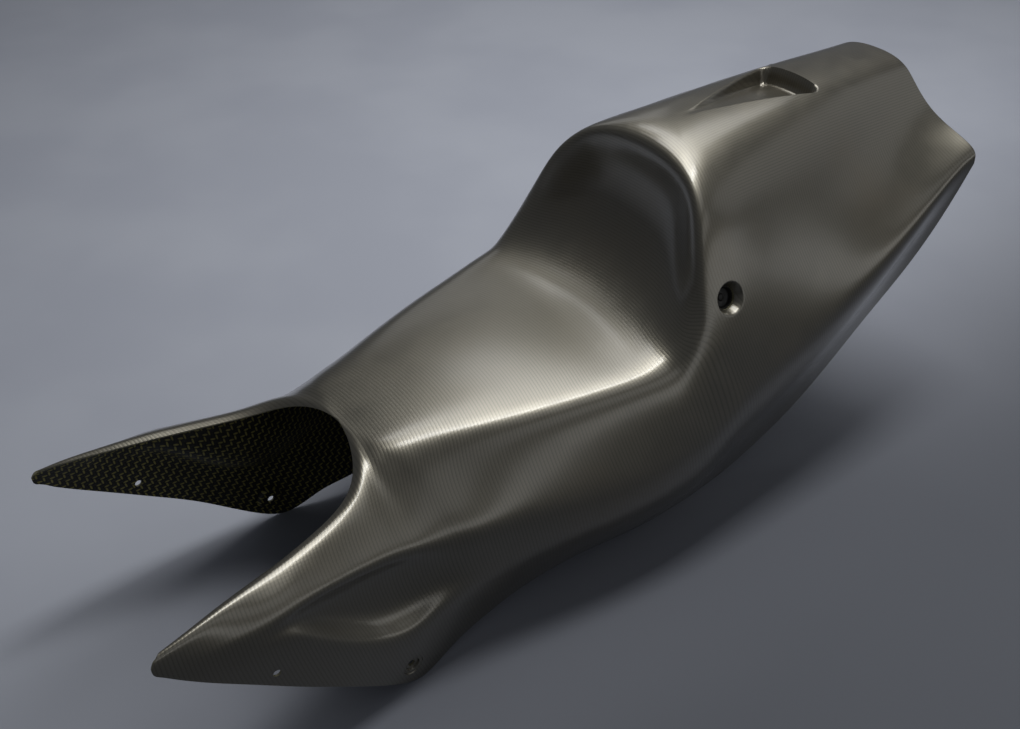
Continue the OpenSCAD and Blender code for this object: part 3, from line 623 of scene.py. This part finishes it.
class Finish:
    """A material in the making."""

    def __init__(self, name):
        self.material = bpy.data.materials.new(name)
        self.material.use_nodes = True
        self.material.node_tree.nodes.clear()

    def node(self, kind, settings, values, output=0):
        """Adds a node: its settings first, then the values or the links of its sockets."""
        tree = self.material.node_tree
        n = tree.nodes.new(kind)
        for key, value in settings.items():
            setattr(n, key, value)
        for key, value in values.items():
            if isinstance(value, Signal):
                tree.links.new(value.socket, n.inputs[key])
            else:
                n.inputs[key].default_value = value
        return Signal(self, n.outputs[output])

    def maths(self, operation, *values):
        return self.node("ShaderNodeMath", {"operation": operation}, dict(enumerate(values)))

    def place(self):
        return self.node("ShaderNodeTexCoord", {}, {}, "Object")

    def part(self, vector, axis):
        return self.node("ShaderNodeSeparateXYZ", {}, {0: vector}, axis)

    def cloth(self):
        """Places on the cloth, along the cowl and across it."""
        lengths = self.node("ShaderNodeUVMap", {"uv_map": "cloth"}, {})
        return self.part(lengths, "X"), self.part(lengths, "Y")

    def noise(self, at, scale, detail=2.0, roughness=0.5):
        return self.node("ShaderNodeTexNoise", {},
                         {"Vector": at, "Scale": scale, "Detail": detail, "Roughness": roughness})

    def step(self, value, low, high, at_low=0.0, at_high=1.0):
        """A smooth step from one number to another."""
        return self.node("ShaderNodeMapRange", {"interpolation_type": "SMOOTHSTEP"},
                         {0: value, 1: low, 2: high, 3: at_low, 4: at_high})

    def blend(self, factor, first, second):
        """One number or the other, or between them."""
        return self.node("ShaderNodeMix", {"data_type": "FLOAT"}, {0: factor, 2: first, 3: second})

    def mix(self, factor, first, second):
        """One colour or the other, or between them."""
        return self.node("ShaderNodeMix", {"data_type": "RGBA"}, {0: factor, 6: first, 7: second}, 2)

    def bump(self, height, distance):
        return self.node("ShaderNodeBump", {}, {"Distance": distance, "Height": height})

    def done(self, values):
        """Ends the material with its surface and gives it back."""
        shader = self.node("ShaderNodeBsdfPrincipled", {}, values)
        tree = self.material.node_tree
        out = tree.nodes.new("ShaderNodeOutputMaterial")
        tree.links.new(shader.socket, out.inputs["Surface"])
        return self.material


def rgb(red, green, blue):
    """A colour as a screen shows it, from 0 to 255, as the renderer counts it."""
    shares = [k / 255 for k in (red, green, blue)]
    return (*[k / 12.92 if k < 0.0404 else ((k + 0.055) / 1.055) ** 2.4 for k in shares], 1.0)


def hump(value):
    """From a place within a thread, 0 to 1, its rounded height."""
    middle = value * 2 - 1
    return 1 - middle * middle


# Distances between threads, along the cowl and across it
RIB_PITCH = 3.05 * MM
RUN_PITCH = 2.7 * MM
TWILL_PITCH = 2.6 * MM
# How far a thread stands out
THREAD_BUMP = 0.07 * MM
TWILL_BUMP = 0.3 * MM
# From behind the rim and within this width, the hump's top shows its lengthwise threads in colour and bump
# instead of the crosswise ribs. This is painted sheen: there the lengthwise threads catch the light, and
# the cloth is the same weave.
TOP_FROM, TOP_FULL = -0.125, -0.145
TOP_HALF, TOP_END = 0.09, 0.12


def satin_weave():
    """Fine plain weave of metal-coated thread under a satin coat, with painted sheen on the threads' tops.
    """
    f = Finish("satin_weave")
    along, across = f.cloth()
    a, b = along / RIB_PITCH, across / RUN_PITCH
    over = (a.math("FLOOR") + b.math("FLOOR")) % 2
    rib, run = hump(a.math("FRACT")), hump(b.math("FRACT"))
    place = f.place()
    behind_rim = f.step(f.part(place, "X"), TOP_FULL, TOP_FROM, 1.0, 0.0)
    top = behind_rim * f.step(across.math("ABSOLUTE"), TOP_HALF, TOP_END, 1.0, 0.0)
    crossing = f.blend(over, rib * (0.6 + run * 0.4), run * (0.6 + rib * 0.4))
    thread = f.blend(top, rib, run) * 0.72 + crossing * 0.28
    broad = f.noise(place, 7.0, 3.0)
    fine = f.noise(place, 45.0, 3.0)
    # Painted sheen and shade: each thread is lighter on its rounded top and darker in the grooves beside
    # it.
    tone = f.mix(f.step(thread, 0.0, 0.9), rgb(97, 94, 83), rgb(112, 108, 96))
    tone = f.mix(f.step(broad, 0.45, 0.75, 0.0, 0.4), tone, rgb(116, 106, 88))
    rough = f.step(fine, 0.25, 0.75, 0.33, 0.4)
    return f.done({"Base Color": tone, "Metallic": 0.85, "Roughness": rough,
                   "Normal": f.bump(thread, THREAD_BUMP),
                   "Coat Weight": 1.0, "Coat Roughness": 0.2, "Coat IOR": 1.6})


def olive_twill():
    """Dark twill with a lattice of olive threads, each second one both ways.

    A thread floats over two others, and its floats step one thread from row to row.
    """
    f = Finish("olive_twill")
    along, across = f.cloth()
    a, b = along / TWILL_PITCH, across / TWILL_PITCH
    rows, columns = b.math("FLOOR"), a.math("FLOOR")
    up = ((rows + columns) % 4).math("LESS_THAN", 2.0)
    olive_row = (rows % 2).math("LESS_THAN", 0.5)
    olive_column = (columns % 2).math("LESS_THAN", 0.5)
    olive_float = hump(((a + rows) % 4) / 2)
    dark_float = hump(((b + columns) % 4) / 2 - 1)
    olive = hump(b.math("FRACT")) * (0.4 + olive_float * 0.6)
    dark = hump(a.math("FRACT")) * (0.5 + dark_float * 0.5)
    height = f.blend(up, dark, olive)
    shade = f.noise(f.place(), 30.0, 3.0)
    lengthwise = f.step(olive, 0.35, 0.85) * (0.4 + up * 0.6) * olive_row
    crosswise = f.step(dark, 0.35, 0.85) * (1 - up * 0.6) * olive_column
    # Painted sheen and shade: the dark threads are lighter on their rounded tops and darker in the grooves
    # between them.
    tone = f.mix(height, rgb(13, 13, 12), rgb(36, 36, 33))
    tone = f.mix(lengthwise.math("MAXIMUM", crosswise), tone, rgb(158, 150, 84))
    tone = f.mix(f.step(shade, 0.35, 0.7, 0.0, 0.3), tone, rgb(14, 14, 13))
    return f.done({"Base Color": tone, "Roughness": f.step(shade, 0.3, 0.7, 0.42, 0.56),
                   "Normal": f.bump(height, TWILL_BUMP)})


def trimmed_laminate():
    """The cut edge of the laminate: light olive layers, with dust and scratches of the trimming."""
    f = Finish("trimmed_laminate")
    place = f.place()
    speck = f.noise(place, 900.0, 3.0, 0.6)
    broad = f.noise(place, 40.0, 2.0)
    tone = f.mix(f.step(speck, 0.35, 0.65), rgb(96, 92, 70), rgb(150, 146, 118))
    tone = f.mix(f.step(broad, 0.4, 0.7, 0.0, 0.6), tone, rgb(70, 67, 54))
    return f.done({"Base Color": tone, "Roughness": 0.6, "Normal": f.bump(speck, 0.0001)})


def shade_black_rubber():
    """Dull black rubber with some dust, for the grommets that also serve as painted shade in the side
    bores.
    """
    f = Finish("shade_black_rubber")
    place = f.place()
    dust = f.noise(place, 160.0, 3.0)
    tone = f.mix(f.step(dust, 0.4, 0.75), rgb(20, 19, 18), rgb(34, 32, 29))
    return f.done({"Base Color": tone, "Roughness": f.step(dust, 0.3, 0.7, 0.38, 0.55),
                   "Normal": f.bump(f.noise(place, 700.0, 2.0), 0.00004)})


cowl = finished(mould_cowl(), "cowl", [satin_weave(), olive_twill(), trimmed_laminate()])
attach(cowl, "root")
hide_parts("shell")
# Black grommets in the side bores, partly painted shade that darkens the holes.
for side, where in ((1, "left"), (-1, "right")):
    shade_plug = finished(spun_about(BORES[-1], side, SHADE_GROMMET), f"side_shade_plug_{where}", [shade_black_rubber()])
    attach(shade_plug, "root")



# Floor, lamps and camera
FLOOR_HALF = 6
# Across the cowl the floor goes from pale to a painted shade of darker grey between these places.
PALE_TO, SHADED_FROM = -0.3, 0.35


def pale_floor():
    """A pale floor with faint clouds and painted shade that darkens it toward the camera, on the cowl's
    near side.
    """
    f = Finish("pale_floor")
    place = f.place()
    cloud = f.noise(place, 3.0, 3.0)
    near = f.step(f.part(place, "Y"), PALE_TO, SHADED_FROM)
    tone = f.mix(f.step(cloud, 0.35, 0.65), rgb(160, 164, 175), rgb(167, 171, 181))
    # Painted shade: the near side of the floor is darker, as if it lay in the cowl's shadow.
    tone = f.mix(near, tone, rgb(86, 89, 96))
    return f.done({"Base Color": tone, "Roughness": 0.85})


floor_sheet = bmesh.new()
bmesh.ops.create_grid(floor_sheet, x_segments=4, y_segments=4, size=FLOOR_HALF)
floor = finished(floor_sheet, "floor", [pale_floor()])

LAMP_HEIGHT = 1.8
LAMP_DISTANCE = 2.2
LIT_PLACE = Vector((0, 0, 0.2))


def lamp(name, width, height, power):
    """A flat lamp, its sides in metres and its power in watts."""
    light = bpy.data.lights.new(name, "AREA")
    light.shape = "RECTANGLE"
    light.size, light.size_y, light.energy = width, height, power
    made = bpy.data.objects.new(name, light)
    bpy.context.scene.collection.objects.link(made)
    return made


def ceiling_lamp(name, place, length, width, power):
    """A lamp that hangs level over the cowl."""
    hung = lamp(name, length, width, power)
    hung.location = (*place, LAMP_HEIGHT)


def softbox(name, azimuth, elevation, width, height, power):
    """A lamp that faces the cowl from a bearing and a height, in degrees."""
    standing = lamp(name, width, height, power)
    a, e = math.radians(azimuth), math.radians(elevation)
    to_lamp = Vector((math.cos(a) * math.cos(e), math.sin(a) * math.cos(e), math.sin(e)))
    standing.location = LIT_PLACE + to_lamp * LAMP_DISTANCE
    standing.rotation_euler = to_lamp.to_track_quat("Z", "Y").to_euler()


ceiling_lamp("ceiling_panel", (-0.6, -0.5), 1.05, 1.1, 11.5)
ceiling_lamp("ceiling_corner", (-0.95, -1.3), 0.4, 0.6, 2.0)
ceiling_lamp("ceiling_strip", (-0.45, 0), 0.95, 0.36, 13)
ceiling_lamp("ceiling_near", (-0.45, 0.75), 0.8, 0.9, 1.1)
softbox("near_panel", 112, 10, 2.6, 0.45, 2.6)
softbox("side_panel", 105, 35, 1.6, 0.6, 1.2)
softbox("rear_panel", 158, 26, 1.2, 0.7, 0.8)
softbox("back_panel", 202, 46, 0.7, 0.5, 1.8)
softbox("far_panel", 240, 24, 1.0, 0.5, 0.7)

world = bpy.data.worlds.new("studio")
world.use_nodes = True
background = world.node_tree.nodes["Background"]
background.inputs["Color"].default_value = rgb(150, 153, 160)
background.inputs["Strength"].default_value = 0.28
bpy.context.scene.world = world

lens = bpy.data.cameras.new("camera")
lens.sensor_width = 36
lens.lens = 38.82
camera = bpy.data.objects.new("camera", lens)
looking = Vector((-0.4860, -0.6255, -0.6103))
camera.location = (0.533, 0.637, 0.7945)
camera.rotation_euler = looking.to_track_quat("-Z", "Y").to_euler()
bpy.context.scene.collection.objects.link(camera)
bpy.context.scene.camera = camera
bpy.context.scene.view_settings.view_transform = "Standard"


bpy.context.view_layer.update()
